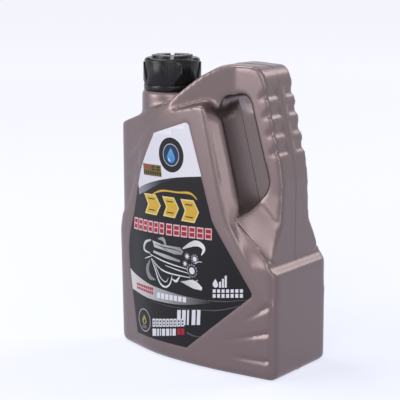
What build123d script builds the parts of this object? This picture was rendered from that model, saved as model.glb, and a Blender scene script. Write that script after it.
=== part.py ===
"""A 1.5 litre engine oil bottle with a moulded-in handle, a screw cap and a front label.

Millimetres. +X runs from the cap end to the handle end, the label faces -Y, +Z is up, and the
origin is the middle of the foot. Each piece is written to parts/ as one STEP file.
"""

import os
from math import cos, radians, sin, tan

from build123d import *

# Driving sizes of the bottle
body_length = 165.0
body_depth = 78.0
body_height = 228.5
wall = 1.5
flat_run = 38.0  # straight stretch of the front, from the handle end
corner_radius = 5.8  # upright corners at the handle end
foot_bevel = 2.8
draft = 11.0  # degrees, on the belly's top and handle side
lean_room = 6.0  # straight stretch that the leaning nose shares with the square end
overrun = 1.0  # how far every cutter runs past what it cuts

# Raised label panel
panel_step = 0.8
film = 0.25
sticker_film = 0.1

# Handle
grip_depth = 1.2
grip_height = 7.8
grip_pitch = 13.4
grip_reach = 9.8  # of each pocket, forward from the handle's corner
grip_count = 4
grip_drop = 63.9  # from the top of the bottle to the foot of the lowest pocket
rib_half = 4.8  # the uncut rib between the left and right pockets

# Claw grooves at the lower corner
claw_depth = 2.4

# Neck
neck_across = -34.5
collar_radius = 23.3
collar_drop = 23.3  # from the top of the bottle to the top of the collar
collar_round = 2.0
neck_radius = 18.6
bore_radius = 16.6
neck_height = 21.2

# Cap, liner and tamper ring
cap_radius = 22.3
cap_roof = 1.5
cap_round = 2.2
thread_gap = 1.3  # room for the threads between neck and cap
ring_height = 4.0
ring_gap = 0.6  # between the neck and the ring
ring_step = 0.4  # how far the ring stands inside the cap's outer face
break_gap = 0.4  # between the ring and the cap
seat_gap = 0.3  # between the neck's lip and the liner
liner_thickness = 1.2
liner_gap = 0.5  # round the liner, inside the cap
shield_step = 0.9  # how far the shields stand out of the cap's side
shield_drop = 3.4  # from the cap's flat top to the shields' top
shield_count = 6
notch_half = 7.2  # half the width of the vee between two shields, at their top
notch_deep = 14.1
arch_half = 8.6
arch_rise = 2.6
rim_notch = 6.2
rim_notch_depth = 1.2
pad_height = 1.9
pad_inner = 6.0
pad_outer = 15.8
pad_gap = 3.0
first_notch = -56.0  # degrees, where the first vee faces
# The cap's rounded rim, in from its side and down from its top
rim_shares = [(0.0, 1.0), (0.134, 0.5), (0.5, 0.134), (1.0, 0.0)]

# Plan of the body: how far back from the straight front, and how wide there
plan_shares = [(0.412, 0.884), (0.697, 0.64), (0.882, 0.365), (0.95, 0.262)]
# Height of each plan section, and where its nose stands
nose_shares = [(0.0, -0.488), (0.404, -0.5), (0.470, -0.484), (1.1, -0.491)]

# Side view of the whole bottle: foot, ledge, handle, top bar and shoulder
side_shares = [
    (-0.62, 0.0), (0.62, 0.0), (0.62, 0.2), (0.5, 0.2), (0.5, 0.348), (0.464, 0.37),
    (0.466, 0.633), (0.448, 0.712), (0.393, 0.878), (0.355, 1.0), (0.150, 1.0),
    (0.045, 0.96), (-0.048, 0.906), (-0.098, 0.870), (-0.508, 0.766), (-0.62, 0.74),
]
side_round_shares = [0, 0, 0, 0, 0.012, 0.018, 0.25, 0.35, 0.35, 0.07, 0.075, 0.5, 0.35, 0.02, 0.02, 0]

# Side view of the belly that carries the label
belly_shares = [
    (-0.595, 0.758), (0.116, 0.873), (0.243, 0.509), (0.555, 0.168), (0.555, -0.2), (-0.595, -0.2),
]
belly_round_shares = [0, 0.03, 0.33, 0, 0, 0]

# Side view of the finger hole
hole_shares = [
    (0.06, 0.84), (0.141, 0.858), (0.158, 0.897), (0.284, 0.907), (0.393, 0.621),
    (0.302, 0.517), (0.06, 0.504),
]
hole_round_shares = [0, 0.02, 0.036, 0.042, 0.085, 0.07, 0]

# Half widths of the top bar along the bottle, and of the handle root and its band up the bottle
bar_shares = [(0.8, 0.497), (0.215, 0.497), (-0.086, 0.825), (-0.8, 1.602)]
root_shares = [
    (-0.2, 1.2), (0.22, 1.2), (0.355, 0.80), (0.375, 0.705), (0.415, 0.645), (0.475, 0.567),
    (0.534, 0.525), (0.594, 0.497), (1.2, 0.497),
]
band_shares = [
    (-0.2, 1.2), (0.345, 1.10), (0.372, 0.975), (0.408, 0.918), (0.450, 0.825), (0.490, 0.72),
    (0.56, 0.52),
]
band_side_shares = [
    (-0.62, -0.1), (0.62, -0.1), (0.62, 0.35), (0.482, 0.372), (0.285, 0.508), (0.05, 0.52),
    (-0.62, 0.52),
]

# Raised panel: handle side, top, then the two barbs on the nose side
panel_shares = [
    (0.62, 0.16), (0.468, 0.271), (0.246, 0.486), (0.219, 0.533), (0.104, 0.874), (-0.117, 0.838),
    (-0.166, 0.826), (-0.212, 0.787), (-0.42, 0.645), (-0.295, 0.70), (-0.32, 0.645),
    (-0.425, 0.60), (-0.345, 0.60), (-0.392, 0.522), (-0.431, 0.471), (-0.62, 0.40),
    (-0.62, -0.1), (0.62, -0.1),
]
panel_round_shares = [0, 0, 0.04, 0.04, 0.03, 0, 0.04, 0, 0, 0.01, 0.01, 0, 0.01, 0, 0.1, 0, 0, 0]

# Label: straight sides, then the long curve on the nose side
label_shares = [
    (-0.192, 0.763), (0.029, 0.816), (0.169, 0.498), (0.390, 0.277), (0.018, 0.058), (-0.335, 0.054),
]
label_round_shares = [0, 0.02, 0.16, 0.02, 0, 0]
label_nose_shares = [(-0.393, 0.265), (-0.403, 0.356), (-0.378, 0.436), (-0.345, 0.518), (-0.298, 0.627)]
sticker_shares = [(-0.278, 0.653), (-0.145, 0.658), (-0.139, 0.62), (-0.27, 0.615)]

# Each claw: its tip, then the top and bottom of its wide end
claw_shares = [
    ((0.29, 0.165), (0.474, 0.262), (0.474, 0.224)),
    ((0.177, 0.099), (0.474, 0.170), (0.474, 0.142)),
    ((0.134, 0.057), (0.474, 0.077), (0.474, 0.050)),
]


def side(share):
    """A point of the side view, from shares of the body's length and height."""
    return (share[0] * body_length, share[1] * body_height)


def side_face(shares, round_shares, grow=0.0):
    """A closed side-view outline with rounded corners, grown all round by a clearance."""
    radii = [share * body_length for share in round_shares]
    with BuildSketch() as face:
        with BuildLine():
            FilletPolyline(*[side(share) for share in shares], radius=radii, close=True)
        make_face()
        if grow:
            offset(amount=grow)
    return face.sketch


def side_prism(face):
    """A side-view outline carried right through the bottle from front to back."""
    with BuildPart() as prism:
        with BuildSketch(Plane.XZ):
            add(face)
        extrude(amount=body_depth / 2 + overrun, both=True)
    return prism.part


def nose_face(inset, sink):
    """The blunt nose seen from above, with a short straight stretch at its wide end."""
    half = body_depth / 2 - inset - sink
    start = body_length / 2 - flat_run
    tip = inset + sink - body_length / 2
    bend = [(start - back * (start - tip), -wide * half) for back, wide in plan_shares]
    with BuildSketch() as face:
        with BuildLine():
            Line((start + lean_room, 0), (start + lean_room, -half))
            Line((start + lean_room, -half), (start, -half))
            Spline([(start, -half)] + bend + [(tip, 0)], tangents=[(-1, 0), (0, 1)])
            mirror(about=Plane.XZ)
        make_face()
    return face.sketch


def plan_block(inset=0.0, sink=0.0):
    """The plan carried up the bottle: a square end, and a nose that leans out, in and out again."""
    half = body_depth / 2 - inset - sink
    end = body_length / 2 - inset
    start = body_length / 2 - flat_run + lean_room / 2
    face = nose_face(inset, sink)
    levels = [((nose + 0.5) * body_length, up * body_height) for up, nose in nose_shares]
    with BuildPart() as block:
        for (across, height), (next_across, next_height) in zip(levels, levels[1:]):
            rise = Vector(next_across - across, 0, next_height - height)
            with BuildSketch(Plane((across, 0, height))):
                add(face)
            extrude(amount=rise.length, dir=rise)
        with BuildSketch():
            with Locations((start / 2 + end / 2, 0)):
                Rectangle(end - start, half * 2)
            corners = [corner for corner in vertices() if corner.X > start + overrun]
            fillet(corners, radius=corner_radius - inset)
        extrude(amount=levels[-1][1])
        if not inset:
            chamfer(block.edges().group_by(Axis.Z)[0], length=foot_bevel)
    return block.part


def belly_block(inset):
    """The belly, narrower at its front and back faces than in the middle by the draft."""
    rise = body_depth / 2 * tan(radians(draft))
    with BuildPart() as block:
        with BuildSketch(Plane.XZ):
            add(side_face(belly_shares, belly_round_shares, rise - inset))
        extrude(amount=body_depth / 2 + overrun, taper=draft)
        mirror(about=Plane.XZ)
    return block.part


def bar_block(inset):
    """The top bar and grip seen from above, spreading towards the neck."""
    half = [(along * body_length, wide * body_depth / 2 - inset) for along, wide in bar_shares]
    with BuildPart() as block:
        with BuildSketch():
            with BuildLine():
                Polyline(*half, *[(along, -wide) for along, wide in reversed(half)], close=True)
            make_face()
        extrude(amount=body_height * 2)
    return block.part


def root_block(shares, inset):
    """Half widths up the bottle, seen from the handle end, carried along its length."""
    half = [(wide * body_depth / 2 - inset, up * body_height) for up, wide in shares]
    with BuildPart() as block:
        with BuildSketch(Plane.YZ):
            with BuildLine():
                Polyline(*half, *[(-wide, up) for wide, up in reversed(half)], close=True)
            make_face()
        extrude(amount=body_length, both=True)
    return block.part


def bottle_form(inset=0.0, handle_inset=0.0, sink=0.0):
    """The closed form of the bottle, or with insets the cavity inside it."""
    hole = side_prism(side_face(hole_shares, hole_round_shares, handle_inset))
    whole = side_prism(side_face(side_shares, side_round_shares, -handle_inset))
    cut = side_prism(side_face(band_side_shares, [0] * len(band_side_shares), -inset))
    with BuildPart() as grip:
        add(bar_block(handle_inset))
        add(root_block(root_shares, handle_inset))
        add(hole, mode=Mode.SUBTRACT)
    with BuildPart() as band:
        add(root_block(band_shares, inset))
        add(cut, mode=Mode.INTERSECT)
    with BuildPart() as form:
        add(belly_block(inset))
        add(band.part)
        add(grip.part)
        add(plan_block(inset, sink), mode=Mode.INTERSECT)
        add(whole, mode=Mode.INTERSECT)
    return form.part


def turned(radii_and_heights):
    """A form turned about the neck's axis, from its half profile."""
    with BuildPart() as form:
        with BuildSketch(Plane((neck_across, 0, 0), x_dir=(1, 0, 0), z_dir=(0, -1, 0))):
            with BuildLine():
                Polyline(*radii_and_heights, close=True)
            make_face()
        revolve(axis=Axis((neck_across, 0, 0), (0, 0, 1)))
    return form.part


def claw(tip, top, bottom, grow):
    """One tapered groove: a point at its tip, a deep vee at its wide end, drawn on by a growth."""
    face_y = -body_depth / 2
    stretch = 1 + grow / (top[0] - tip[0])
    top_z, bottom_z = [tip[1] + (end[1] - tip[1]) * stretch for end in (top, bottom)]
    root_z = tip[1] + (top[1] - claw_depth / 2 - tip[1]) * stretch
    with BuildPart() as groove:
        with BuildSketch(Plane.YZ.offset(tip[0])):
            with BuildLine():
                Polyline(
                    (face_y - overrun, tip[1] + grow + film),
                    (face_y + grow + film, tip[1]),
                    (face_y - overrun, tip[1] - grow - film),
                    close=True,
                )
            make_face()
        with BuildSketch(Plane.YZ.offset(top[0] + grow)):
            with BuildLine():
                Polyline(
                    (face_y - overrun, top_z + grow),
                    (face_y + claw_depth * stretch + grow, root_z),
                    (face_y - overrun, bottom_z - grow),
                    close=True,
                )
            make_face()
        loft(ruled=True)
    return groove.part


def claws(grow):
    """The claw grooves of both sides."""
    grooves = [claw(*[side(share) for share in shares], grow) for shares in claw_shares]
    with BuildPart() as both:
        for groove in grooves:
            add(groove)
        mirror(about=Plane.XZ)
    return both.part


def handle_core(half):
    """The handle inside its finger pockets."""
    with BuildPart() as core:
        add(side_prism(side_face(side_shares, side_round_shares, -grip_depth)))
        with BuildSketch():
            Rectangle(body_length * 2, half * 2)
        extrude(amount=body_height * 2, mode=Mode.INTERSECT)
    return core.part


def finger_grips():
    """The shallow finger pockets that wrap the handle's two outer corners."""
    foot = side(side_shares[7])
    top = side(side_shares[8])
    lean = (top[0] - foot[0]) / (top[1] - foot[1])
    grip_half = bar_shares[0][1] * body_depth / 2
    core = handle_core(grip_half - grip_depth)
    with BuildPart() as pockets:
        for number in range(grip_count):
            low = body_height - grip_drop + number * grip_pitch
            high = low + grip_height
            with BuildSketch(Plane.XZ):
                with BuildLine():
                    Polyline(
                        (foot[0] + (low - foot[1]) * lean - grip_reach, low),
                        (body_length / 2, low),
                        (body_length / 2, high),
                        (foot[0] + (high - foot[1]) * lean, high),
                        close=True,
                    )
                make_face()
            extrude(amount=grip_half + overrun, both=True)
        with BuildSketch(Plane.XY.offset(body_height - grip_drop - grip_pitch)):
            Rectangle(body_length * 2, rib_half * 2)
        extrude(amount=body_height, mode=Mode.SUBTRACT)
        add(core, mode=Mode.SUBTRACT)
    return pockets.part


def label_prism():
    """The label's outline carried forward from the middle of the bottle."""
    radii = [share * body_length for share in label_round_shares]
    points = [side(share) for share in label_shares]
    with BuildPart() as prism:
        with BuildSketch(Plane.XZ):
            with BuildLine():
                FilletPolyline(*points, radius=radii[1:-1])
                Spline(points[-1], *[side(share) for share in label_nose_shares], points[0])
            make_face()
        extrude(amount=body_depth / 2 + overrun)
    return prism.part


def sticker_prism():
    """The sticker's outline carried forward from the middle of the bottle."""
    with BuildPart() as prism:
        with BuildSketch(Plane.XZ):
            with BuildLine():
                Polyline(*[side(share) for share in sticker_shares], close=True)
            make_face()
        extrude(amount=body_depth / 2 + overrun)
    return prism.part


def raised_panel():
    """The wide panel of both faces, which the label lies in."""
    prism = side_prism(side_face(panel_shares, panel_round_shares))
    with BuildPart() as panel:
        add(plan_block())
        add(prism, mode=Mode.INTERSECT)
    return panel.part


def cavity():
    """The hollow inside the wall, up through the neck."""
    form = bottle_form(wall, wall + grip_depth, panel_step)
    grooves = claws(wall)
    throat = turned([
        (0, collar_top - collar_radius), (collar_radius - wall, collar_top - collar_radius),
        (collar_radius - wall, collar_top - collar_round - wall), (bore_radius, collar_top),
        (bore_radius, neck_top + overrun), (0, neck_top + overrun),
    ])
    with BuildPart() as hollow:
        add(form)
        add(grooves, mode=Mode.SUBTRACT)
        add(throat)
    return hollow.part


def facing(degrees, height):
    """An upright plane on the neck's axis that faces out at an angle."""
    angle = radians(degrees)
    out = (cos(angle), sin(angle), 0)
    return Plane((neck_across, 0, height), x_dir=(-out[1], out[0], 0), z_dir=out)


def cap_shields(bottom, top):
    """The ring of shields on the cap's side, parted by vees and arched below."""
    step = 360 / shield_count
    with BuildPart() as ring:
        with BuildSketch(Plane((neck_across, 0, bottom))):
            Circle(cap_radius)
            Circle(cap_radius - cap_roof, mode=Mode.SUBTRACT)
        extrude(amount=top - bottom)
        for number in range(shield_count):
            with BuildSketch(facing(first_notch + number * step, top)):
                with BuildLine():
                    Polyline(
                        (-notch_half, overrun), (-notch_half, 0), (0, -notch_deep), (notch_half, 0),
                        (notch_half, overrun), close=True,
                    )
                make_face()
            extrude(amount=cap_radius + overrun, mode=Mode.SUBTRACT)
            with BuildSketch(facing(first_notch + (number + 0.5) * step, bottom)):
                with BuildLine():
                    ThreePointArc((-arch_half, 0), (0, arch_rise), (arch_half, 0))
                    Polyline((arch_half, 0), (arch_half, -overrun), (-arch_half, -overrun), (-arch_half, 0))
                make_face()
            extrude(amount=cap_radius + overrun, mode=Mode.SUBTRACT)
    return ring.part


# Heights of the neck and the closure, each piece standing on the last
collar_top = body_height - collar_drop
neck_top = collar_top + neck_height
ring_top = collar_top + ring_height
cap_bottom = ring_top + break_gap
liner_bottom = neck_top + seat_gap
roof_under = liner_bottom + liner_thickness
cap_top = roof_under + cap_roof
cap_bore = neck_radius + thread_gap
cap_core = cap_radius - shield_step

# Label and sticker: thin films, the label flush in a recess of the bottle
with BuildPart() as front_label:
    add(plan_block())
    add(plan_block(sink=film), mode=Mode.SUBTRACT)
    add(label_prism(), mode=Mode.INTERSECT)

with BuildPart() as security_sticker:
    add(plan_block(sink=-sticker_film))
    add(plan_block(), mode=Mode.SUBTRACT)
    add(sticker_prism(), mode=Mode.INTERSECT)

# Bottle: one blow-moulded piece, hollow handle and all
with BuildPart() as bottle_body:
    add(bottle_form(sink=panel_step))
    add(raised_panel())
    add(finger_grips(), mode=Mode.SUBTRACT)
    add(claws(0.0), mode=Mode.SUBTRACT)
    add(turned([
        (0, collar_top - collar_radius), (collar_radius, collar_top - collar_radius),
        (collar_radius, collar_top - collar_round), (collar_radius - collar_round, collar_top),
        (neck_radius, collar_top), (neck_radius, neck_top), (0, neck_top),
    ]))
    add(cavity(), mode=Mode.SUBTRACT)
    add(front_label.part, mode=Mode.SUBTRACT)

# Tamper ring: what stays on the neck when the cap is first turned
with BuildPart() as tamper_ring:
    with BuildSketch(Plane((neck_across, 0, collar_top))):
        Circle(cap_radius - ring_step)
        Circle(neck_radius + ring_gap, mode=Mode.SUBTRACT)
    extrude(amount=ring_height)

# Liner: the sealing disc under the cap's roof
with BuildPart() as cap_liner:
    with BuildSketch(Plane((neck_across, 0, liner_bottom))):
        Circle(cap_bore - liner_gap)
    extrude(amount=liner_thickness)

# Cap: a shell with a rounded rim, shields round its side and pads on its top
with BuildPart() as cap:
    rim = [(cap_core - back * cap_round, cap_top - down * cap_round) for back, down in rim_shares]
    add(turned([(0, cap_bottom), (cap_core, cap_bottom), *rim, (0, cap_top)]))
    for number in range(shield_count):
        with BuildSketch(facing(first_notch + number * 360 / shield_count, cap_top)):
            Rectangle(rim_notch, rim_notch_depth * 2)
        extrude(amount=cap_core + overrun, mode=Mode.SUBTRACT)
    with BuildSketch(Plane((neck_across, 0, cap_top - rim_notch_depth))):
        Circle(cap_core - cap_round)
    extrude(amount=rim_notch_depth)
    add(cap_shields(cap_bottom, cap_top - shield_drop))
    with BuildSketch(Plane((neck_across, 0, cap_bottom))):
        Circle(cap_bore)
    extrude(amount=roof_under - cap_bottom, mode=Mode.SUBTRACT)
    with BuildSketch(Plane((neck_across, 0, cap_top))):
        Circle(pad_outer)
        Circle(pad_inner, mode=Mode.SUBTRACT)
        with PolarLocations(0, shield_count // 2, start_angle=first_notch):
            Rectangle(pad_outer * 2 + overrun, pad_gap, mode=Mode.SUBTRACT)
    extrude(amount=pad_height)

os.makedirs("parts", exist_ok=True)
bottle_body.part.label = "bottle_body"
export_step(bottle_body.part, "parts/bottle_body.step")
front_label.part.label = "front_label"
export_step(front_label.part, "parts/front_label.step")
security_sticker.part.label = "security_sticker"
export_step(security_sticker.part, "parts/security_sticker.step")
tamper_ring.part.label = "tamper_ring"
export_step(tamper_ring.part, "parts/tamper_ring.step")
cap_liner.part.label = "cap_liner"
export_step(cap_liner.part, "parts/cap_liner.step")
cap.part.label = "cap"
export_step(cap.part, "parts/cap.step")
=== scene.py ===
from math import pi, radians, sin

import bmesh
import bpy
import numpy as np
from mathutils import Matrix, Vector


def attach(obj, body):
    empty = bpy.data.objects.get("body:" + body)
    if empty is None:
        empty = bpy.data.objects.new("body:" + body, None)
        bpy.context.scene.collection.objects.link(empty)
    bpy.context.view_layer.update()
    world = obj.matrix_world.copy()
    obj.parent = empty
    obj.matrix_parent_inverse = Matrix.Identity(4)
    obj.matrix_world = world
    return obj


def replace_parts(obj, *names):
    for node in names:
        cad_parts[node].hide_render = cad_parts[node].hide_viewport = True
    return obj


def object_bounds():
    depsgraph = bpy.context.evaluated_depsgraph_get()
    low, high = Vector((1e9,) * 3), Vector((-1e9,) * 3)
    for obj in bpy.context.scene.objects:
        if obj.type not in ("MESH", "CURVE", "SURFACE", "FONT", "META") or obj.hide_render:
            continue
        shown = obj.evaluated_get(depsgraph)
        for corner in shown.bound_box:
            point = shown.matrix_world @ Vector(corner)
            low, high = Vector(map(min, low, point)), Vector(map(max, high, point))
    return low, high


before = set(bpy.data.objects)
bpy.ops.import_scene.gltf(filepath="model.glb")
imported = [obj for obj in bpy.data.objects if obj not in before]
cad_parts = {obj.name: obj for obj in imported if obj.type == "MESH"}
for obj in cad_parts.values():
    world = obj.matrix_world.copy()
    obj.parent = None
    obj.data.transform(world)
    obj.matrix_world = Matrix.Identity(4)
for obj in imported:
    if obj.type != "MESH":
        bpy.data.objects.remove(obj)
cad_box = [list(corner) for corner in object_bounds()]

# Studio
# A photographer's sweep of white paper, lit by four square soft boxes and one tall strip lamp.
# The camera stands in front and to the right, a little above the bottle's top.
camera_place = (0.6358, -0.9485, 0.3373)
camera_turn = 34.2
camera_drop = 10.7
camera_lens = 136.35
camera_sensor = 36.0
camera_data = bpy.data.cameras.new("camera")
camera_data.lens = camera_lens
camera_data.sensor_width = camera_sensor
camera = bpy.data.objects.new("camera", camera_data)
camera.location = camera_place
camera.rotation_euler = (radians(90 - camera_drop), 0, radians(camera_turn))
bpy.context.scene.collection.objects.link(camera)
bpy.context.scene.camera = camera
bpy.context.scene.view_settings.view_transform = "Standard"

# Each lamp's place, the width and height of its face in metres, and its power in watts. All are
# turned to the middle of the bottle.
lamps = {
    "lamp_left": ((-1.1, -1.35, 0.6), 1.0, 1.0, 14.5),
    "lamp_right": ((0.6, -1.4, 0.95), 0.9, 0.9, 7.5),
    "lamp_side": ((0.9, 1.5, 1.4), 1.1, 1.1, 12.0),
    "lamp_top": ((-0.6, 0.0, 1.4), 0.5, 0.5, 6.0),
    "lamp_edge": ((1.3, -0.88, 0.2), 0.12, 0.8, 3.0)}
bottle_middle = Vector((0, 0, 0.11))
for name, (place, width, height, watts) in lamps.items():
    face = bpy.data.lights.new(name, "AREA")
    face.shape = "RECTANGLE"
    face.size = width
    face.size_y = height
    face.energy = watts
    lamp = bpy.data.objects.new(name, face)
    lamp.location = place
    lamp.rotation_euler = (bottle_middle - Vector(place)).to_track_quat("-Z", "Y").to_euler()
    bpy.context.scene.collection.objects.link(lamp)


def linear(hex_colour):
    """An sRGB hex colour as linear red, green, blue and a full alpha."""
    parts = [int(hex_colour[i:i + 2], 16) / 255 for i in (0, 2, 4)]
    return [p / 12.92 if p < 0.04045 else ((p + 0.055) / 1.055) ** 2.4 for p in parts] + [1.0]


def node(tree, kind, settings=None, **links):
    """Adds one node to a tree.

    Settings go in by attribute. Each link names an input, by its name with _ for a space or by
    its number after an i, and gives it a value or another node's output.
    """
    made = tree.nodes.new(kind)
    for name, value in (settings or {}).items():
        setattr(made, name, value)
    for name, value in links.items():
        numbered = name[0] == "i" and name[1:].isdigit()
        socket = made.inputs[int(name[1:]) if numbered else name.replace("_", " ")]
        if isinstance(value, bpy.types.NodeSocket):
            tree.links.new(value, socket)
        else:
            socket.default_value = value
    return made


def backdrop_rays(tree):
    """One for the rays that see the backdrop: the camera's, and reflected or passed on ones."""
    rays = node(tree, "ShaderNodeLightPath")
    total = rays.outputs["Is Camera Ray"]
    for name in ("Is Glossy Ray", "Is Transmission Ray"):
        total = node(tree, "ShaderNodeMath", {"operation": "ADD", "use_clamp": True}, i0=total,
                     i1=rays.outputs[name]).outputs[0]
    return total


# The room is white where it is seen or mirrored, and gives only a low even light otherwise.
room_light = 0.17
room_white = 0.98
world = bpy.data.worlds.new("studio")
world.use_nodes = True
bpy.context.scene.world = world
sky = world.node_tree
sky.nodes.clear()
dim = node(sky, "ShaderNodeBackground", Color=linear("f4f4fb"), Strength=room_light)
white = node(sky, "ShaderNodeBackground", Color=linear("f8f8ff"), Strength=room_white)
mixed = node(sky, "ShaderNodeMixShader", i0=backdrop_rays(sky), i1=dim.outputs[0],
             i2=white.outputs[0])
node(sky, "ShaderNodeOutputWorld", Surface=mixed.outputs[0])


def material(name, sockets):
    """A new material, its node tree and its Principled shader, with some of its sockets set."""
    made = bpy.data.materials.new(name)
    made.use_nodes = True
    shader = made.node_tree.nodes["Principled BSDF"]
    for socket, value in sockets.items():
        shader.inputs[socket].default_value = value
    return made, made.node_tree, shader


def piece(name, points, faces, made):
    """A smooth mesh object from points in metres and faces, with its material."""
    mesh = bpy.data.meshes.new(name)
    mesh.from_pydata([tuple(p) for p in points], [], [tuple(int(i) for i in f) for f in faces])
    mesh.update()
    mesh.materials.append(made)
    mesh.polygons.foreach_set("use_smooth", [True] * len(mesh.polygons))
    obj = bpy.data.objects.new(name, mesh)
    bpy.context.scene.collection.objects.link(obj)
    return obj


# Uncoated white paper, quite matte. It glows for the rays that see the backdrop, with painted
# shade:
# its glow is darker and bluer near the bottle and whiter away from it. It still takes the bottle's
# shadow.
paper_glow = 0.9
near_shade = 0.1
far_shade = 2.2
sweep_half = 12.0
paper, tree, shader = material("white_sweep_paper", {
    "Base Color": linear("a8aab4"), "Roughness": 0.8, "Specular IOR Level": 0.0})
place = node(tree, "ShaderNodeTexCoord").outputs["Object"]
away = node(tree, "ShaderNodeVectorMath", {"operation": "LENGTH"}, i0=place)
share = node(tree, "ShaderNodeMapRange", Value=away.outputs["Value"], From_Min=near_shade,
             From_Max=far_shade)
# The glow's colour, darker near the bottle, is painted shade.
painted_shade_glow = node(tree, "ShaderNodeMix", {"data_type": "RGBA"}, i0=share.outputs["Result"],
            i6=linear("dcdeea"), i7=linear("f7f7ff"))
tree.links.new(painted_shade_glow.outputs[2], shader.inputs["Emission Color"])
seen = node(tree, "ShaderNodeMath", {"operation": "MULTIPLY"}, i0=backdrop_rays(tree),
            i1=paper_glow)
tree.links.new(seen.outputs[0], shader.inputs["Emission Strength"])
sweep_corners = [(-sweep_half, -sweep_half, 0), (sweep_half, -sweep_half, 0),
                 (sweep_half, sweep_half, 0), (-sweep_half, sweep_half, 0)]
piece("floor", sweep_corners, [(0, 1, 2, 3)], paper)

# Bottle
# One hollow piece of polyethylene with belly, handle and neck, blown in a two-part mould. A blown
# skin has no sharp edge, so the outside is the construction's solid remade in even squares, with
# the soft slopes drawn out and the edges let run together. The neck is turned over it.
mm = 0.001

# High-density polyethylene with pearl flake from a blasted mould: a warm brown, half metallic
# sheen with broad highlights. Real flake is far too fine to show, so it is drawn 0.4 mm wide.
flake_size = 0.4 * mm
grain_depth = 0.2 * mm
pearl, tree, shader = material("pearl_polyethylene", {
    "Metallic": 0.85, "Roughness": 0.35, "Coat Weight": 0.25, "Coat Roughness": 0.22})
place = node(tree, "ShaderNodeTexCoord").outputs["Object"]
flake = node(tree, "ShaderNodeTexNoise", Vector=place, Scale=1 / flake_size, Detail=2.0)
tone = node(tree, "ShaderNodeMix", {"data_type": "RGBA"}, i0=flake.outputs["Fac"],
            i6=linear("6d5e5e"), i7=linear("7b6b6b"))
tree.links.new(tone.outputs[2], shader.inputs["Base Color"])
grain = node(tree, "ShaderNodeBump", Strength=0.06, Distance=grain_depth,
             Height=flake.outputs["Fac"])
tree.links.new(grain.outputs[0], shader.inputs["Normal"])

# The body's plan in millimetres: its front half from the handle's end to the nose, and how far
# along X the plan leans at each level.
plan_points = [(44.5, -39.0), (-7.8, -34.48), (-44.0, -24.96), (-67.5, -14.24), (-76.15, -10.22),
               (-82.5, 0.0)]
lean_levels = (0.0, 92.3, 107.4, 251.4)
lean_shifts = (1.98, 0.0, 2.64, 1.49)


def clamped_curve(points, first, last, count):
    """A cubic spline through points with given end tangents, its parameter the chord length.

    The slopes at the inner points come from one linear system that keeps the second
    derivative the same on both sides of each point. Between two points the curve is the sum
    of the points and slopes, each times its Hermite cubic of the share of the way.
    """
    p = np.array(points, float)
    h = np.linalg.norm(np.diff(p, axis=0), axis=1)
    knots = np.concatenate([[0], np.cumsum(h)])
    system, right = np.eye(len(p)), np.zeros_like(p)
    right[0], right[-1] = first, last
    for k in range(1, len(p) - 1):
        system[k, k - 1:k + 2] = h[k], 2 * (h[k - 1] + h[k]), h[k - 1]
        right[k] = 3 * (h[k] * (p[k] - p[k - 1]) / h[k - 1] + h[k - 1] * (p[k + 1] - p[k]) / h[k])
    slopes = np.linalg.solve(system, right)
    at = np.linspace(0, knots[-1], count)
    k = np.clip(np.searchsorted(knots, at, side="right") - 1, 0, len(h) - 1)
    t = ((at - knots[k]) / h[k])[:, None]
    step = h[k][:, None]
    return ((2 * t**3 - 3 * t**2 + 1) * p[k] + (t**3 - 2 * t**2 + t) * step * slopes[k]
            + (3 * t**2 - 2 * t**3) * p[k + 1] + (t**3 - t**2) * step * slopes[k + 1])


plan_curve = clamped_curve(plan_points, (-1, 0), (0, 1.4), 1500)[::-1]


def front_of(x, z):
    """How far forward the front panel is, in millimetres, at places of the side view.

    The plan's curve is read at x less the lean of the level z.
    """
    along = np.asarray(x) - np.interp(z, lean_levels, lean_shifts)
    return np.interp(along, plan_curve[:, 0], plan_curve[:, 1])


def rounded_outline(points, radii, steps):
    """A closed outline whose corners are turned into arcs of given radii.

    An arc's middle lies on the corner's bisector, at the radius over the sine of the half
    angle, and its points lie one radius from that middle.
    """
    made = []
    p = np.array(points, float)
    for k, radius in enumerate(radii):
        before, after = p[k - 1] - p[k], p[(k + 1) % len(p)] - p[k]
        before, after = before / np.linalg.norm(before), after / np.linalg.norm(after)
        if not radius:
            made.append([p[k]])
            continue
        half = np.arccos(np.clip(before @ after, -1, 1)) / 2
        bisector = (before + after) / np.linalg.norm(before + after)
        middle = p[k] + bisector * radius / sin(half)
        start = p[k] + before * radius / np.tan(half) - middle
        end = p[k] + after * radius / np.tan(half) - middle
        t = np.linspace(0, 1, steps)[:, None]
        rays = start * (1 - t) + end * t
        made.append(middle + rays / np.linalg.norm(rays, axis=1)[:, None] * radius)
    return np.concatenate(made)


# The label's outline in the side view: six corners, three of them rounded, and a bent left side.
label_corners = [(-31.7, 174.3), (4.8, 186.5), (27.9, 113.8), (64.4, 63.3), (3.0, 13.3),
                 (-55.3, 12.3)]
label_radii = [0, 3.3, 26.4, 3.3, 0, 0]
arc_steps = 8
label_arcs = rounded_outline(label_corners, label_radii, arc_steps)
label_left = clamped_curve([(-55.3, 12.3), (-64.8, 60.6), (-66.5, 81.3), (-62.4, 99.6),
                            (-56.9, 118.4), (-49.2, 143.3), (-31.7, 174.3)],
                           (-0.19, 0.98), (0.49, 0.87), 40)
label_edge = np.concatenate([label_arcs[1:-1], label_left])


def merged_copy(name, new_name):
    """A copy of a CAD node with its loose triangles joined."""
    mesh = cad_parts[name].data.copy()
    work = bmesh.new()
    work.from_mesh(mesh)
    bmesh.ops.remove_doubles(work, verts=work.verts, dist=0.001 * mm)
    work.to_mesh(mesh)
    work.free()
    obj = bpy.data.objects.new(new_name, mesh)
    bpy.context.scene.collection.objects.link(obj)
    return obj


def applied(obj):
    """The piece with its modifiers made part of its mesh."""
    bpy.context.view_layer.update()
    worked = obj.evaluated_get(bpy.context.evaluated_depsgraph_get())
    done = bpy.data.meshes.new_from_object(worked)
    obj.modifiers.clear()
    obj.data = done
    return obj


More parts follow.
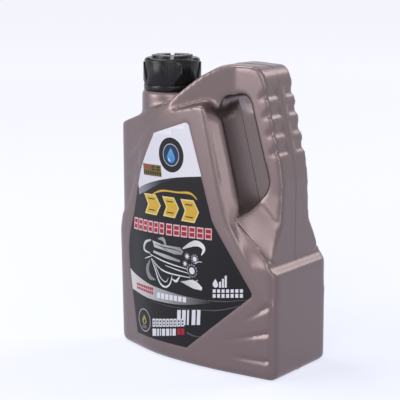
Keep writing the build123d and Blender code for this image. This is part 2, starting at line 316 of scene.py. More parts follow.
def mesh_arrays(mesh):
    """A mesh's points as an array and its faces as lists of corners."""
    p = np.empty(len(mesh.vertices) * 3)
    mesh.vertices.foreach_get("co", p)
    return p.reshape(-1, 3), [list(f.vertices) for f in mesh.polygons]


def face_links(faces):
    """The pairs of points that the edges of equal-sided faces join, each pair once."""
    sides = faces.shape[1]
    links = np.concatenate([faces[:, [k, (k + 1) % sides]] for k in range(sides)])
    return np.unique(np.sort(links, axis=1), axis=0)


def joined_to(first, links, count):
    """Which points are joined to a first one.

    A mark runs from the first point along the links, one link at a time, until it reaches
    no more points.
    """
    reached = np.zeros(count, bool)
    grown = reached.copy()
    grown[first] = True
    while (grown != reached).any():
        reached = grown.copy()
        grown[links[reached[links].any(axis=1)]] = True
    return reached


# The solid's lip is taken off, which parts its outer skin from the skin of its cavity, and the
# outer skin's open neck is closed again.
neck_across = -34.5
collar_top = 205.2
lip_top = 226.4
lip_inner = 16.6
lip_outer = 18.6
skin = merged_copy("bottle_body", "skin")
whole_points, whole_faces = mesh_arrays(skin.data)
whole_faces = np.array(whole_faces)
in_lip = (whole_points[whole_faces, 2] > (lip_top - 0.01) * mm).all(axis=1)
open_faces = whole_faces[~in_lip]
outer = joined_to(whole_points[:, 0].argmax(), face_links(open_faces), len(whole_points))
work = bmesh.new()
work.from_mesh(skin.data)
cavity = [v for v, is_outer in zip(work.verts, outer) if not is_outer]
lip = [f for f, is_lip in zip(work.faces, in_lip) if is_lip]
bmesh.ops.delete(work, geom=lip, context="FACES")
bmesh.ops.delete(work, geom=[v for v in cavity if v.is_valid], context="VERTS")
bmesh.ops.holes_fill(work, edges=[e for e in work.edges if e.is_boundary])
work.to_mesh(skin.data)
work.free()

# The outer skin is remade in even squares, kept as points in millimetres and pairs of neighbours.
skin_square = 1.22
remesh = skin.modifiers.new("remesh", "REMESH")
remesh.mode = "VOXEL"
remesh.voxel_size = skin_square * mm
p, faces = mesh_arrays(applied(skin).data)
bpy.data.objects.remove(skin)
p /= mm
faces = np.array([f for f in faces if len(f) == 4])
links = face_links(faces)
neighbours = np.bincount(links.ravel(), minlength=len(p))[:, None]


def near_band(value, low, high, fade):
    """One inside a band of values, falling evenly to zero over a fade on both sides."""
    return np.clip(np.minimum(value - low, high - value) / fade + 1, 0, 1)


def segments(outline):
    """The end points of a closed outline's segments, one after another."""
    return zip(outline, np.roll(outline, -1, axis=0))


def inside(outline, x, z):
    """Which places of the side view lie inside a closed outline.

    A place is inside where a line from it along X crosses the outline an odd number of times.
    """
    found = np.zeros(len(x), bool)
    for (x0, z0), (x1, z1) in segments(outline):
        if z0 != z1:
            crosses = (z0 > z) != (z1 > z)
            found ^= crosses & (x < (x1 - x0) * (z - z0) / (z1 - z0) + x0)
    return found


def line_distance(outline, x, z):
    """Distance in the side view from places to the nearest segment of a closed outline.

    The nearest point of a segment is at the place's share of the way along it, held from 0
    to 1.
    """
    nearest = np.full(len(x), np.inf)
    for (x0, z0), (x1, z1) in segments(outline):
        wide, high = x1 - x0, z1 - z0
        share = np.clip(((x - x0) * wide + (z - z0) * high) / (wide**2 + high**2), 0, 1)
        nearest = np.minimum(nearest, np.hypot(x - x0 - share * wide, z - z0 - share * high))
    return nearest


# The handle's root flares forward to the band beside the panel, and the band to the panel, so
# that low steps part them. Each flare starts at a line of the side view, rises to a depth
# forward, fades over a reach above the line and stops at a level.
root_line = [(40.0, 121.5), (51.5, 111.8), (60.5, 103.5), (69.5, 95.4), (78.0, 87.0)]
band_line = [(34.0, 126.0), (40.6, 111.1), (77.2, 61.9)]
flares = [(root_line, 33.4, 24.0, 132), (band_line, 37.9, 19.0, 116)]
flare_foot = 60
flare_along = (30, 77, 2)
flare_forward = (14, 50, 7)
front = np.abs(p[:, 1])
held = near_band(p[:, 0], *flare_along) * near_band(front, *flare_forward)
for line, forward, reach, level in flares:
    above = p[:, 2] - np.interp(p[:, 0], *zip(*line))
    near = np.clip(1 - above / reach, 0, 1) * (above > -1)
    near *= held * near_band(p[:, 2], flare_foot, level, 5)
    front = np.where(front < forward, front + (forward - front) * near, front)
p[:, 1] = np.sign(p[:, 1]) * front

# Above it the band goes on up beside the opening, as a slope from the panel's edge back to a
# wall that goes straight through. Both lines are levels and their places along X.
slope_line = ((105, 112, 122, 150, 190), (47.0, 43.0, 39.3, 29.6, 19.8))
wall_line = ((105, 112, 122, 190), (55.0, 50.2, 46.6, 29.2))
edge_x = np.interp(p[:, 2], *slope_line)
wall_x = np.interp(p[:, 2], *wall_line)
wall_front = 29.5
slope_depth = 8.3
slope_levels = (110, 189, 6)
share = np.clip((front - wall_front) / slope_depth, 0, None)
sloped_x = wall_x + (edge_x - wall_x) * share
beside = (front < wall_front + slope_depth + 0.4) & (p[:, 0] > edge_x - 0.5)
beside = near_band(p[:, 2], *slope_levels) * (beside & (p[:, 0] < wall_x + 1))
p[:, 0] += np.maximum(sloped_x - p[:, 0], 0) * beside

# The skin is smoothed in turns, each of which takes a point half way to the mean of its
# neighbours. The grips, the claws and the panel's edge with the barbs on the nose get fewer.
# Their regions are bands: a low and a high place and the fade beside them.
smooth_turns = 10
grip_turns = 5
claw_turns = 1.4
edge_turns = 2.2
face_forward = (33, 50, 2)
nose_along = (-90, -36, 3)
grip_along, grip_levels = (46, 90, 4), (160, 216, 4)
claw_along, claw_levels = (4, 79, 3), (6, 66, 4)
edge_width = (0, 2.2, 2)
panel_edge = [(77.2, 61.9), (40.6, 111.1), (36.1, 121.8), (17.2, 199.7), (-19.3, 191.5),
              (-27.4, 188.7), (-35.0, 179.8), (-69.3, 147.4), (-48.7, 160.0), (-52.8, 147.4),
              (-70.1, 137.1), (-56.9, 137.1), (-64.7, 119.3), (-71.1, 107.6), (-102.3, 91.4),
              (-102.3, -22.9), (102.3, -22.9), (102.3, 36.6)]
flat_face = near_band(front, *face_forward)
grips = near_band(p[:, 2], *grip_levels) * near_band(p[:, 0], *grip_along)
claws = near_band(p[:, 2], *claw_levels) * near_band(p[:, 0], *claw_along) * flat_face
edges = near_band(line_distance(panel_edge, p[:, 0], p[:, 2]), *edge_width)
edges *= np.maximum(flat_face, near_band(p[:, 0], *nose_along))
turns = np.minimum.reduce([smooth_turns + (few - smooth_turns) * region for few, region in
                           ((grip_turns, grips), (claw_turns, claws), (edge_turns, edges))])
for turn in range(smooth_turns):
    total = np.zeros_like(p)
    np.add.at(total, links[:, 0], p[links[:, 1]])
    np.add.at(total, links[:, 1], p[links[:, 0]])
    p += 0.5 * np.clip(turns - turn, 0, 1)[:, None] * (total / neighbours - p)

# Under the label the skin is a little lower than the film, with a narrow moat round it.
moat = 0.9
recess = 0.22
spread = label_edge - label_edge.mean(axis=0)
wider = label_edge + spread / np.linalg.norm(spread, axis=1)[:, None] * moat
covered = inside(wider, p[:, 0], p[:, 2]) & (p[:, 1] < -5)
recess_y = front_of(p[:, 0], p[:, 2]) + recess
p[:, 1] = np.where(covered & (p[:, 1] < recess_y), recess_y, p[:, 1])


def neck_distance(p):
    """Distance of points from the neck's axis, in millimetres."""
    return np.hypot(p[:, 0] - neck_across, p[:, 1])


# The skin of the neck is taken off, for the turned one. Then the mould's parting line is cut in
# round the middle and stands up as a fine ridge, its points moved out along their normals. The
# skin is still in millimetres here.
neck_gap = 0.7
neck_clear = 1.5
kept = ~((p[:, 2] > collar_top + neck_gap) & (neck_distance(p) < lip_outer + neck_clear))
ridge_half = 0.45
ridge_height = 0.28
skin = piece("skin", p, faces[kept[faces].all(axis=1)], pearl)
work = bmesh.new()
work.from_mesh(skin.data)
bpy.data.objects.remove(skin)
for across in (-ridge_half, 0, ridge_half):
    bmesh.ops.bisect_plane(work, geom=work.verts[:] + work.edges[:] + work.faces[:], dist=0.0001,
                           plane_co=(0, across, 0), plane_no=(0, 1, 0))
bmesh.ops.delete(work, geom=[v for v in work.verts if not v.link_faces], context="VERTS")
parted = bpy.data.meshes.new("parted")
work.to_mesh(parted)
work.free()
skin_points, skin_faces = mesh_arrays(parted)
outwards = np.empty(skin_points.size)
parted.vertex_normals.foreach_get("vector", outwards)
raised = skin_points + outwards.reshape(-1, 3) * ridge_height
raised = np.clip(raised, *(np.array(corner) / mm for corner in cad_box))
on_ridge = (np.abs(skin_points[:, 1]) < 0.001) & (neck_distance(skin_points) > lip_outer + 2)
skin_points[on_ridge] = raised[on_ridge]


def grid_faces(rows, columns):
    """Quads over a grid of points, row by row, the last column joined to the first."""
    i, j = np.meshgrid(np.arange(rows - 1), np.arange(columns), indexing="ij")
    k = (j + 1) % columns
    corners = (i * columns + j, i * columns + k, (i + 1) * columns + k, (i + 1) * columns + j)
    return np.stack(corners, -1).reshape(-1, 4)


# The neck is a profile turned round its axis: a wall with a bead over the tamper ring, a lip,
# and a start of the bore. The thread is a right-handed ridge where the height above its foot, in
# pitches, less the angle in turns, is nearly whole, drawn down to nothing at both ends.
thread_pitch = 6.0
thread_height = 0.9
thread_half = 1.1
thread_flank = 0.5
thread_foot = 214.0
thread_turns = 1.4
thread_run_out = 0.06
bead_level = 211.0
bead_half = 0.8
bead_flank = 0.4
neck_sides = 96
neck_levels = np.linspace(collar_top - 0.3, lip_top - 0.6, 60)
angles = np.arange(neck_sides) * 2 * pi / neck_sides
height, angle = np.meshgrid(neck_levels, angles, indexing="ij")
pitches = (height - thread_foot) / thread_pitch - angle / (2 * pi)
whole_pitch = np.round(pitches)
run = whole_pitch + angle / (2 * pi)
ends = np.clip(np.minimum(run, thread_turns - run) / thread_run_out, 0, 1)
off_line = np.abs(pitches - whole_pitch) * thread_pitch
thread = np.clip((thread_half - off_line) / thread_flank, 0, 1) * ends
bead = np.clip((bead_half - np.abs(height - bead_level)) / bead_flank, 0, 1)
lip_profile = np.array([(lip_outer - 0.2, lip_top - 0.15), (lip_outer - 0.6, lip_top),
                        (lip_inner + 0.4, lip_top), (lip_inner, lip_top - 0.4),
                        (lip_inner, lip_top - 1.0)])
lip_radii, lip_angles = np.meshgrid(lip_profile[:, 0], angles, indexing="ij")
lip_levels = np.repeat(lip_profile[:, 1:], neck_sides, axis=1)
radii = np.concatenate([lip_outer + thread_height * np.maximum(thread, bead), lip_radii])
angle = np.concatenate([angle, lip_angles])
height = np.concatenate([height, lip_levels])
neck_points = np.stack([neck_across + radii * np.cos(angle), radii * np.sin(angle), height], -1)
neck_faces = grid_faces(*radii.shape)


def joined(parts):
    """Several lots of points and faces as one lot, each lot's corners counted past the last."""
    starts = np.cumsum([0] + [len(points) for points, faces in parts])
    faces = [[k + start for k in face] for (points, faces), start in zip(parts, starts)
             for face in faces]
    return np.concatenate([points for points, faces in parts]), faces


used, cavity_faces = np.unique(open_faces[~outer[open_faces[:, 0]]], return_inverse=True)
shell_points, shell_faces = joined([
    (skin_points * mm, skin_faces), (neck_points.reshape(-1, 3) * mm, neck_faces),
    (whole_points[used], cavity_faces.reshape(-1, 3))])
shell = piece("bottle_shell", shell_points, shell_faces, pearl)
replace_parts(shell, "bottle_body")
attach(shell, "bottle")

# Closure
# A screw cap and the tamper ring that stays on the neck, both injection moulded in polypropylene.
# They keep the construction's shapes, with the fine rounding that a mould gives every edge.

# Black polypropylene with a satin mould texture: near black, with soft grey glints. The texture
# is drawn with a grain of about 0.55 mm, coarser than the real one, so that it shows.
satin_size = 0.5556 * mm
black, tree, shader = material("black_polypropylene", {
    "Base Color": linear("0f0f12"), "Roughness": 0.26, "Specular IOR Level": 0.28})
place = node(tree, "ShaderNodeTexCoord").outputs["Object"]
satin = node(tree, "ShaderNodeTexNoise", Vector=place, Scale=1 / satin_size, Detail=3.0)
grain = node(tree, "ShaderNodeBump", Strength=0.05, Distance=grain_depth,
             Height=satin.outputs["Fac"])
tree.links.new(grain.outputs[0], shader.inputs["Normal"])


def dressed(obj, made):
    """The piece with one material in place of those it has."""
    obj.data.materials.clear()
    obj.data.materials.append(made)
    return obj


edge_rounding = 0.25 * mm
rounded_from = radians(32)
sharp_from = radians(40)
for name, body in (("cap", "closure"), ("tamper_ring", "bottle")):
    part = dressed(merged_copy(name, "moulded_" + name), black)
    soften = part.modifiers.new("soften", "BEVEL")
    soften.width = edge_rounding
    soften.segments = 2
    soften.limit_method = "ANGLE"
    soften.angle_limit = rounded_from
    soften.harden_normals = True
    applied(part)
    part.data.polygons.foreach_set("use_smooth", [True] * len(part.data.polygons))
    part.data.set_sharp_from_angle(angle=sharp_from)
    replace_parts(part, name)
    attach(part, body)

# Liner
# A disc punched from foamed sheet and pressed into the cap's roof, where it seals the neck's
# lip. It keeps the construction's shape.

# White foamed polyethylene: matte and slightly pitted by its cells, about 0.7 mm across.
cell_size = 0.6667 * mm
foam, tree, shader = material("foamed_polyethylene", {
    "Base Color": linear("e6e4de"), "Roughness": 0.7})
place = node(tree, "ShaderNodeTexCoord").outputs["Object"]
cells = node(tree, "ShaderNodeTexVoronoi", Vector=place, Scale=1 / cell_size)
grain = node(tree, "ShaderNodeBump", Strength=0.2, Distance=grain_depth,
             Height=cells.outputs["Distance"])
tree.links.new(grain.outputs[0], shader.inputs["Normal"])
dressed(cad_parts["cap_liner"], foam)

# Label
# A film of polypropylene, printed black and laid in the mould, so that it is flush with the
# bottle. Every print on it is a thin skin of its own, a step of 0.03 mm further forward for each
# layer. All outlines are places of the side view in millimetres.
label_set_back = 0.10
layer_step = 0.03
strip_width = 3.0
strip_height = 6.0

# Offset inks under the film's clear lacquer: even colours with a satin gloss. Some run from one
# colour to another across the label, between two places on one axis.
ink_gloss = {"Roughness": 0.32, "Specular IOR Level": 0.22}


def ink(name, colour):
    """A printing ink in one colour."""
    return material(name, {"Base Color": linear(colour), **ink_gloss})[0]


def fading_ink(name, first, last, start, stop, axis="X"):
    """An ink that runs evenly from one colour to another between two places, in millimetres."""
    made, tree, shader = material(name, ink_gloss)
    place = node(tree, "ShaderNodeTexCoord").outputs["Object"]
    parts = node(tree, "ShaderNodeSeparateXYZ", Vector=place)
    share = node(tree, "ShaderNodeMapRange", Value=parts.outputs[axis], From_Min=start * mm,
                 From_Max=stop * mm)
    mix = node(tree, "ShaderNodeMix", {"data_type": "RGBA"}, i0=share.outputs["Result"],
               i6=linear(first), i7=linear(last))
    tree.links.new(mix.outputs[2], shader.inputs["Base Color"])
    return made


def printed(name, outlines, layer, made):
    """Flat outlines of the side view laid on the front panel.

    They are cut into strips both ways, and each point is put at the panel's front, less the
    steps of its layer.
    """
    work = bmesh.new()
    for outline in outlines:
        work.faces.new([work.verts.new((x, 0, z)) for x, z in outline])
    work.normal_update()
    bmesh.ops.triangulate(work, faces=work.faces[:])
    places = np.concatenate([np.asarray(outline, float) for outline in outlines])
    for side, size in ((0, strip_width), (1, strip_height)):
        first = np.floor(places[:, side].min() / size) + 1
        last = np.ceil(places[:, side].max() / size)
        for cut in np.arange(first, last) * size:
            bmesh.ops.bisect_plane(work, geom=work.verts[:] + work.edges[:] + work.faces[:],
                                   dist=0.0001, plane_co=(0, 0, cut) if side else (cut, 0, 0),
                                   plane_no=(0, 0, 1) if side else (1, 0, 0))
    bmesh.ops.triangulate(work, faces=work.faces[:])
    work.normal_update()
    bmesh.ops.reverse_faces(work, faces=[f for f in work.faces if f.normal.y > 0])
    flat = bpy.data.meshes.new("flat")
    work.to_mesh(flat)
    work.free()
    p, faces = mesh_arrays(flat)
    p[:, 1] = front_of(p[:, 0], p[:, 2]) + label_set_back - layer * layer_step
    obj = piece(name, p * mm, faces, made)
    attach(obj, "bottle")
    return obj


black_ink = ink("black_ink", "141317")
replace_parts(printed("label_field", [label_edge], 0, black_ink), "front_label")

# The label's head is a white field with a grey shade along its foot.
head_ink = fading_ink("head_white_ink", "e4e3ef", "f1f0fa", -60, 10)
shade_ink = fading_ink("shade_ink", "9c9ca6", "2a292d", -54, -24)
head_foot = clamped_curve([(-52.3, 128.6), (-37.3, 135.3), (-19.5, 140.5), (-3.3, 143.9),
                           (17.9, 146.9)], (0.87, 0.49), (0.99, 0.14), 24)
head_right = label_arcs[1:1 + arc_steps][::-1]
head_left = label_left[label_left[:, 1] > 130.5][::-1]
printed("label_head", [np.concatenate([head_foot, head_right, label_corners[:1], head_left])],
        1, head_ink)
printed("label_shade", [np.concatenate([
    head_foot[:17] - [0, 0.1],
    [(-24.0, 136.6), (-33.0, 132.6), (-43.0, 127.4), (-52.2, 123.6)]])], 1, shade_ink)


def disc(centre, radii, count=48):
    """An ellipse: its centre plus its half sizes times the cosine and sine of an even angle."""
    t = np.arange(count) * 2 * pi / count
    return np.stack([centre[0] + radii[0] * np.cos(t), centre[1] + radii[1] * np.sin(t)], -1)


def drop(centre, size, count=40):
    """A drop with a pointed top: a circle whose upper half is taller and drawn in upwards.

    Above the middle the height is 1.7 times the cosine, and the width is the sine times one
    less the cosine to the power 0.55.
    """
    t = np.arange(count) * 2 * pi / count
    up = np.cos(t)
    wide = np.sin(t) * np.where(up > 0, (1 - up) ** 0.55, 1)
    return np.stack([centre[0] + size * wide,
                     centre[1] + size * np.where(up > 0, up * 1.7, up)], -1)


def stroke(points, widths):
    """A tapered brush stroke along a smooth line.

    It is the spline through the points, moved to both sides by half a width that runs evenly
    through the given ones.
    """
    first, last = np.subtract(points[1], points[0]), np.subtract(points[-1], points[-2])
    line = clamped_curve(points, first / np.hypot(*first), last / np.hypot(*last),
                         6 * len(points))
    way = np.gradient(line, axis=0)
    side = np.stack([-way[:, 1], way[:, 0]], -1) / np.linalg.norm(way, axis=1)[:, None]
    along = np.linspace(0, 1, len(line))
    half = np.interp(along, np.linspace(0, 1, len(widths)), widths)[:, None] / 2
    return np.concatenate([line + side * half, (line - side * half)[::-1]])


# The emblem on the head is a dark disc with a light ring and a blue drop of oil.
white_ink = ink("white_ink", "ecebf6")
pale_ring_ink = ink("pale_ring_ink", "c9c9cf")
dark_blue_ink = ink("dark_blue_ink", "20335a")
blue_ink = fading_ink("blue_ink", "2f78bf", "6cb6e6", 150, 168, "Z")
emblem = (-12.7, 159.7)
printed("emblem_disc", [disc(emblem, (13.2, 13.2))], 2, black_ink)
printed("emblem_ring", [disc(emblem, (8.6, 8.6))], 3, pale_ring_ink)
printed("emblem_field", [disc(emblem, (8.0, 8.0))], 3.5, dark_blue_ink)
printed("emblem_drop", [drop((emblem[0], emblem[1] - 1.8), 4.3)], 4, blue_ink)
printed("emblem_glint", [stroke([(-15.2, 157.6), (-14.6, 155.8), (-13.0, 154.8)],
                                (0.4, 1.3, 0.4))], 4.5, white_ink)


def in_quad(quad, across, down):
    """The place at shares across and down a four-cornered patch, from its top left corner.

    Each corner counts by the product of the place's nearness to it across and down.
    """
    a, b, c, d = np.array(quad, float)
    return (a * (1 - across) * (1 - down) + b * across * (1 - down) + c * across * down
            + d * (1 - across) * down)


# Three slanted yellow arrows with pale edges stand under a yellow bracket line. An arrow's
# outlines are shares across and down its patch.
yellow_ink = ink("yellow_ink", "dcb443")
pale_yellow_ink = ink("pale_yellow_ink", "f1dd9c")
arrow_quads = [
    [(-44.1, 126.1), (-25.2, 127.4), (-24.2, 111.3), (-42.9, 110.6)],
    [(-21.9, 127.1), (-5.3, 127.9), (-4.4, 112.0), (-20.9, 111.9)],
    [(-2.3, 127.6), (14.7, 128.2), (15.7, 111.0), (-1.4, 110.9)]]
arrow = [(-0.04, 0.0), (0.74, 0.0), (1.03, 0.5), (0.74, 1.0), (-0.04, 1.0), (0.2, 0.5)]
arrow_core = [(0.06, 0.06), (0.7, 0.06), (0.96, 0.5), (0.7, 0.94), (0.06, 0.94), (0.28, 0.5)]
arrow_bar = [(0.22, 0.2), (0.64, 0.2), (0.68, 0.25), (0.26, 0.25)]
printed("arrow_edges", [[in_quad(q, u, v) for u, v in arrow] for q in arrow_quads],
        1, pale_yellow_ink)
printed("arrows", [[in_quad(q, u, v) for u, v in arrow_core] for q in arrow_quads],
        2, yellow_ink)
printed("arrow_cuts", [[in_quad(q, u, abs(flip - v)) for u, v in arrow_bar]
                       for q in arrow_quads for flip in (0, 1)], 3, black_ink)
printed("bracket", [stroke([(-33.5, 127.0), (-28.0, 129.6), (-19.2, 131.6), (-3.2, 132.3),
                            (10.0, 131.8), (13.6, 129.0)], (0.8, 1.6, 1.3, 1.3, 1.9, 0.9))],
        1, yellow_ink)


def blocks(quad, spans, downs=((0.0, 1.0),), slant=0.0):
    """Four-cornered blocks in a patch, one for each span across and each span down.

    A slant moves each corner along by its share of the height that is left above the foot.
    """
    return [[in_quad(quad, across + slant * (1 - down), down)
             for across, down in ((left, top), (right, top), (right, foot), (left, foot))]
            for left, right in spans for top, foot in downs]


def even_spans(count, gap):
    """Equal spans from 0 to 1 with a gap between neighbours."""
    size = (1 - gap * (count - 1)) / count
    return [(k * (size + gap), k * (size + gap) + size) for k in range(count)]


# A row of red marks with pink edges, in two groups of six.
red_ink = ink("red_ink", "b5233a")
pink_ink = ink("pink_ink", "e6c3ca")
row_quad = [(-58.8, 104.7), (27.8, 108.9), (27.8, 100.2), (-59.0, 95.4)]
mark_edge = 0.009
marks = [(start + left * size, start + right * size) for start, size in ((0.0, 0.445), (0.47, 0.53))
         for left, right in even_spans(6, 0.03)]
printed("mark_edges", blocks(row_quad, marks), 1, pink_ink)
printed("marks", blocks(row_quad, [(left + mark_edge, right - mark_edge) for left, right in marks],
                        ((0.12, 0.44), (0.54, 0.88))), 2, red_ink)


def gear(centre, radius, teeth, depth):
    """A toothed wheel's outline: two radii in turn round the circle, four points to a tooth."""
    corner = np.arange(teeth * 4)
    t = corner * 2 * pi / len(corner)
    reach = radius - depth * (corner % 4 > 1)
    return np.stack([centre[0] + reach * np.cos(t), centre[1] + reach * np.sin(t)], -1)


# The picture is a generic engine of plates, pipes and toothed wheels in greys and white.
grey_ink = ink("grey_ink", "8f8e93")
dark_grey_ink = ink("dark_grey_ink", "56555b")
glow_ink = fading_ink("glow_ink", "8d8d92", "f2f2f4", -30, 20)
plate_ink = fading_ink("plate_ink", "d4d4d8", "8a8a90", -34, 2)
printed("engine_glow", [
    stroke([(-0.5, 89.8), (7.9, 94.2), (16.8, 95.4), (20.4, 92.4), (18.1, 87.4)],
           (1.0, 3.2, 4.6, 3.6, 0.8)),
    stroke([(-36.8, 75.1), (-40.2, 67.5), (-37.6, 61.8), (-30.4, 60.2)], (0.8, 3.6, 4.4, 0.8)),
    [(-3.0, 64.0), (9.5, 67.4), (14.5, 66.0), (18.9, 62.8), (18.4, 60.6), (10.3, 60.6)],
    stroke([(-27.0, 93.4), (-21.2, 93.8), (-17.9, 88.9)], (0.8, 3.4, 1.0))], 1, glow_ink)
printed("engine_plates", [
    [(-33.4, 91.0), (-21.8, 89.6), (-3.1, 90.3), (0.4, 87.6), (-1.6, 84.8), (-8.3, 84.2),
     (-19.0, 85.3), (-31.5, 86.1)],
    stroke([(-35.4, 91.1), (-43.0, 87.2), (-44.2, 82.2), (-36.7, 80.2)], (1.2, 2.2, 2.0, 0.8)),
    stroke([(-32.5, 82.4), (-17.2, 80.8), (-3.1, 79.6)], (1.6, 3.0, 1.6))], 1, plate_ink)
printed("engine_cuts", [
    stroke([(-31.0, 88.6), (-21.0, 87.8), (-9.0, 87.8), (-2.0, 87.0)], (0.4, 0.9, 1.1, 0.4)),
    stroke([(-25.0, 91.0), (-22.0, 88.0), (-16.0, 85.6)], (0.3, 0.7, 0.3))], 2, dark_grey_ink)
printed("engine_pipes", [
    stroke([(-36.7, 79.6), (-19.1, 76.6), (-3.1, 75.2), (7.3, 74.6)], (0.5, 1.0, 0.9, 0.5)),
    stroke([(-34.6, 76.3), (-25.8, 70.9), (-8.4, 68.4), (7.3, 68.6)], (0.5, 1.1, 1.0, 0.5)),
    stroke([(-19.1, 73.9), (-4.9, 72.4), (7.0, 71.6)], (0.4, 0.9, 0.4)),
    stroke([(-35.1, 76.5), (-29.5, 66.7), (-24.0, 58.2), (-18.8, 56.9), (-13.5, 61.0),
            (-11.6, 67.3)], (0.5, 1.0, 1.3, 1.5, 1.2, 0.5)),
    stroke([(-32.0, 74.5), (-26.6, 66.0), (-21.8, 61.6), (-18.0, 61.2), (-15.6, 64.6)],
           (0.3, 0.7, 0.8, 0.7, 0.3)),
    stroke([(-12.0, 64.7), (-7.7, 63.4), (-3.5, 67.7)], (0.6, 2.2, 0.8)),
    stroke([(-43.3, 74.9), (-38.8, 76.8), (-33.6, 78.9)], (0.4, 0.8, 0.3)),
    stroke([(12.0, 80.4), (15.0, 81.9), (18.6, 82.3)], (0.9, 0.7, 0.4)),
    stroke([(6.1, 66.7), (10.3, 65.4), (14.6, 67.9)], (0.6, 1.4, 0.5))], 2, white_ink)
tooth_depth = 0.9
rim_width = 1.3
wheels = [((8.9, 74.2), 5.4, 12), ((11.6, 83.6), 3.9, 10), ((4.1, 84.6), 2.9, 8),
          ((2.0, 78.6), 2.6, 8)]
printed("engine_wheels", [gear(centre, radius, teeth, tooth_depth)
                          for centre, radius, teeth in wheels], 2, grey_ink)
printed("engine_rims", [disc(centre, [radius - rim_width] * 2, 28)
                        for centre, radius, teeth in wheels], 3, black_ink)
printed("engine_hubs", [disc(centre, [radius / 2] * 2, 24)
                        for centre, radius, teeth in wheels], 4, white_ink)

# The silver band fades towards the handle, with rows of small red and white marks on it and
# fine lines beside it.
silver_ink = fading_ink("silver_ink", "dedee2", "323135", -60, 24)
edge_gap = 0.1
left_foot, left_top = [(np.interp(level, label_left[:, 1], label_left[:, 0]) + edge_gap, level)
                       for level in (46.3, 62.4)]
band_top = clamped_curve([left_top, (-50.8, 57.8), (-37.1, 55.4), (-19.4, 54.1), (-3.3, 53.4),
                          (26.1, 54.0)], (0.85, -0.5), (1, 0.05), 30)
band_foot = clamped_curve([left_foot, (-43.9, 44.2), (-25.2, 44.2), (-8.6, 45.2), (6.9, 47.6),
                           (26.1, 51.8)], (1, -0.1), (1, 0.2), 30)
printed("silver_band", [np.concatenate([band_top, band_foot[::-1]])], 1, silver_ink)
printed("band_red_marks", blocks([(-55.6, 53.0), (-33.4, 53.4), (-33.4, 48.0), (-55.4, 48.2)],
                                 even_spans(9, 0.02), ((0.0, 0.44), (0.6, 1.0))), 2, red_ink)
printed("band_white_marks", blocks([(-28.6, 50.9), (2.9, 52.6), (2.9, 48.6), (-28.6, 46.4)],
                                   even_spans(7, 0.035)), 2, white_ink)
printed("fine_lines", [
    stroke([(7.7, 44.3), (34.0, 47.8), (59.0, 55.9)], (0.2, 1.0, 0.3)),
    stroke([(16.8, 53.0), (40.0, 55.4), (60.2, 59.6)], (0.6, 0.9, 0.3)),
    stroke([(-37.3, 42.1), (-14.0, 42.6), (6.9, 43.9)], (0.2, 0.5, 0.3)),
    stroke([(3.4, 25.2), (9.5, 24.0), (17.4, 24.4)], (1.6, 1.1, 0.3))], 1, dark_grey_ink)

# White fields at the foot: a drop with three level bars, and rows of blocks, the lowest of them
# ending in red.
bars_quad = [(34.6, 74.2), (41.5, 75.2), (41.5, 66.2), (34.6, 65.2)]
level_bars = [(0.0, 0.26, 0.5), (0.37, 0.63, 0.25), (0.74, 1.0, 0.0)]
printed("drop_mark", [drop((31.2, 67.2), 2.5)]
        + [bar for left, right, top in level_bars
           for bar in blocks(bars_quad, [(left, right)], ((top, 1.0),))], 1, white_ink)
printed("small_blocks", blocks([(28.8, 63.0), (55.7, 67.0), (55.7, 60.6), (28.8, 56.6)],
                               even_spans(7, 0.05), ((0.0, 0.4), (0.55, 1.0))), 1, white_ink)
printed("tall_blocks", blocks([(-6.7, 41.0), (16.7, 45.3), (16.7, 33.6), (-6.8, 29.3)],
                              [(0.0, 0.16), (0.22, 0.38), (0.44, 0.52), (0.64, 0.8),
                               (0.86, 1.0)], slant=0.02), 1, white_ink)
foot_quad = [(-34.4, 28.9), (0.9, 36.0), (0.9, 20.7), (-34.6, 12.8)]
frame_edge = 0.022
frames = even_spans(9, 0.018)
printed("framed_blocks", blocks(foot_quad, frames, ((0.02, 0.42),)), 1, white_ink)
printed("framed_cores", blocks(foot_quad, [(left + frame_edge, right - frame_edge)
                                           for left, right in frames],
                               ((0.1, 0.2), (0.26, 0.35))), 2, dark_grey_ink)
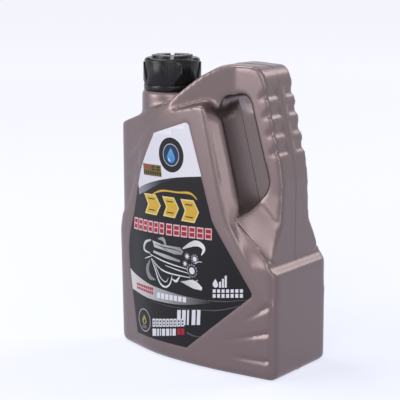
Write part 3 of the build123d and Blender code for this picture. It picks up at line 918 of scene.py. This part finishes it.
printed("low_blocks", blocks(foot_quad, [(0.0, 0.13), (0.16, 0.22), (0.25, 0.29), (0.32, 0.42),
                                         (0.45, 0.55), (0.58, 0.62), (0.65, 0.75)],
                             ((0.52, 0.88),)), 1, white_ink)
printed("low_red_blocks", blocks(foot_quad, [(0.8, 0.89), (0.91, 1.0)], ((0.52, 0.84),)),
        1, red_ink)

# A light ring at the foot holds a golden drop over two grey bars.
gold_ink = ink("gold_ink", "b49a4a")
ring_centre = (-45.2, 24.9)
printed("ring", [disc(ring_centre, (8.2, 9.1))], 1, pale_ring_ink)
printed("ring_field", [disc(ring_centre, (7.6, 8.5))], 2, black_ink)
printed("ring_drop", [drop((ring_centre[0], ring_centre[1] - 0.4), 2.9)], 3, gold_ink)
printed("ring_glint", [drop((ring_centre[0] + 0.3, ring_centre[1] - 1.0), 1.4)], 4, black_ink)
printed("ring_bars", blocks([(-48.4, 20.6), (-42.0, 20.9), (-42.2, 18.4), (-48.2, 18.1)],
                            [(0.0, 1.0)], ((0.0, 0.3), (0.6, 0.9))), 3, grey_ink)

# Sticker
# A small security seal of metallised foil, stuck on the label over its emblem's foot. It carries
# a warm patch and fine dark bars, printed as the label is.

# Gold lacquer on aluminium foil, dulled by its fine embossing: a dark olive gold, half glossy.
foil = material("gold_foil", {"Base Color": linear("6a581c"), "Metallic": 0.3,
                              "Roughness": 0.35})[0]
dressed(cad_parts["security_sticker"], foil)
sticker_red = ink("sticker_red", "a04a26")
sticker_dark = ink("sticker_dark", "2a2312")
sticker_quad = [(-45.6, 149.0), (-24.2, 150.0), (-23.2, 141.9), (-44.3, 140.7)]
sticker_layer = 7.5
printed("sticker_patch", blocks(sticker_quad, [(0.03, 0.42)], ((0.08, 0.42),), 0.02),
        sticker_layer, sticker_red)
printed("sticker_bars", blocks(sticker_quad, even_spans(8, 0.05), ((0.6, 0.9),)),
        sticker_layer, sticker_dark)
printed("sticker_lines", blocks(sticker_quad, [(0.5, 0.68), (0.78, 0.95)],
                                ((0.1, 0.24), (0.34, 0.48))), sticker_layer, sticker_dark)
